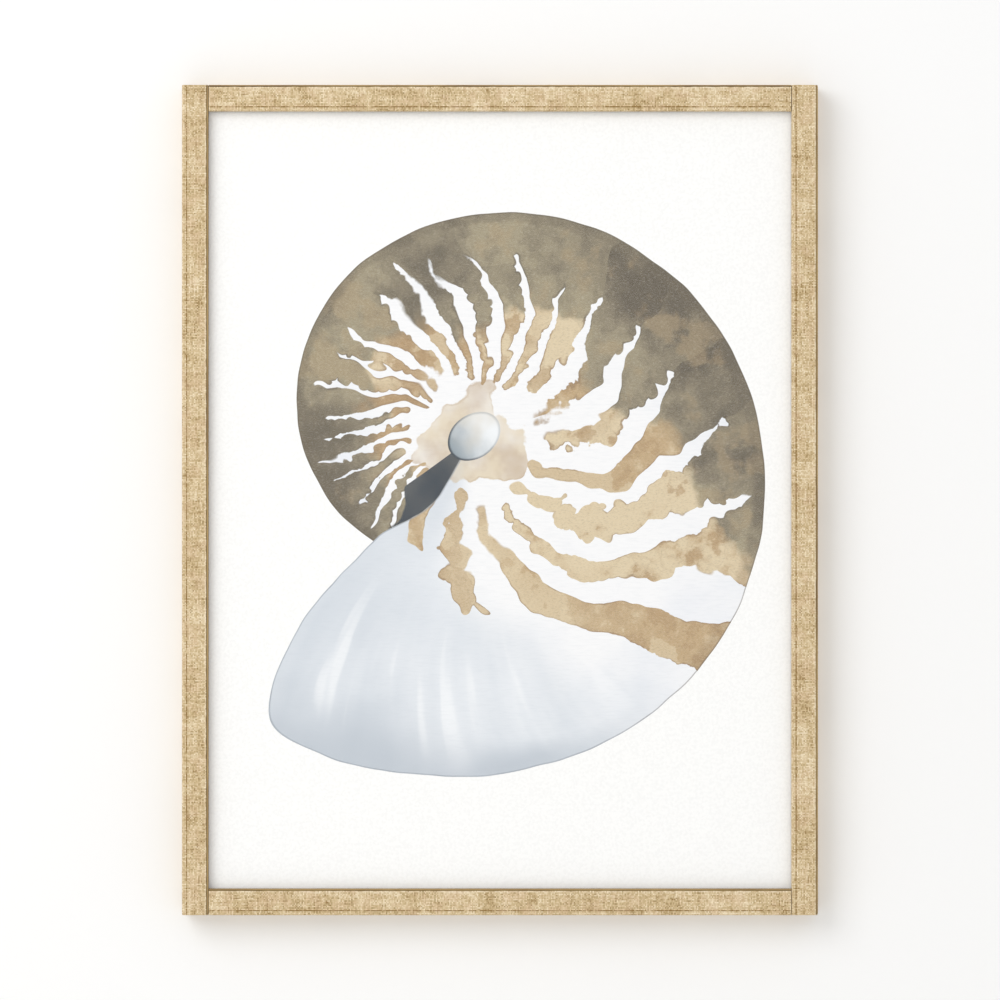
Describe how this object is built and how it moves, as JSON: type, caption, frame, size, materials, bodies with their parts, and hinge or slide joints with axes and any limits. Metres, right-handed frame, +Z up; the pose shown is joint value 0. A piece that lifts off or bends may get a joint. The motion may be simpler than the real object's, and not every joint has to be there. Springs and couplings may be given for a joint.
{
  "type": "framed picture",
  "caption": "Upright glazed picture in a narrow linen-covered wooden frame with bare stained edges, held in a rabbet and hung on a wall by a sawtooth hanger.",
  "frame": {"origin": "the point where the nail that carries the frame leaves the wall, at the middle notch of the sawtooth hanger and in the plane of the bumpers' backs", "axes": "+X to the right as the picture is seen, +Y straight into the wall, +Z up"},
  "size_m": [0.4984, 0.0285, 0.6508],
  "materials": {
    "batten_wood": "pale softwood, stained brown along the bare front edge",
    "linen": "matte champagne linen with an uneven weave",
    "dowel_wood": "plain beech",
    "glazing": "clear, smooth",
    "print_paper": "matte cold-pressed paper with a painted shell",
    "mount_board": "matte",
    "hardboard": "smooth pressed fibre board",
    "point_steel": "bare sheet steel",
    "hanger_steel": "brass-plated",
    "bumper_rubber": "matte"
  },
  "bodies": {
    "root": {"left_stile": "batten_wood", "right_stile": "batten_wood", "top_rail": "batten_wood", "bottom_rail": "batten_wood", "left_stile_linen": "linen", "right_stile_linen": "linen", "right_stile_side_linen": "linen", "top_rail_linen": "linen", "top_rail_side_linen": "linen", "bottom_rail_linen": "linen", "top_rail_dowel_1": "dowel_wood", "top_rail_dowel_2": "dowel_wood", "top_rail_dowel_3": "dowel_wood", "top_rail_dowel_4": "dowel_wood", "bottom_rail_dowel_1": "dowel_wood", "bottom_rail_dowel_2": "dowel_wood", "bottom_rail_dowel_3": "dowel_wood", "bottom_rail_dowel_4": "dowel_wood", "glazing": "glazing", "print": "print_paper", "mount_board": "mount_board", "backing_board": "hardboard", "left_stile_point_1": "point_steel", "left_stile_point_2": "point_steel", "left_stile_point_3": "point_steel", "left_stile_point_4": "point_steel", "right_stile_point_1": "point_steel", "right_stile_point_2": "point_steel", "right_stile_point_3": "point_steel", "right_stile_point_4": "point_steel", "top_rail_point_1": "point_steel", "top_rail_point_2": "point_steel", "top_rail_point_3": "point_steel", "bottom_rail_point_1": "point_steel", "bottom_rail_point_2": "point_steel", "bottom_rail_point_3": "point_steel", "sawtooth_hanger": "hanger_steel", "hanger_nail_1": "hanger_steel", "hanger_nail_2": "hanger_steel", "left_bumper": "bumper_rubber", "right_bumper": "bumper_rubber"}
  },
  "joints": []
}
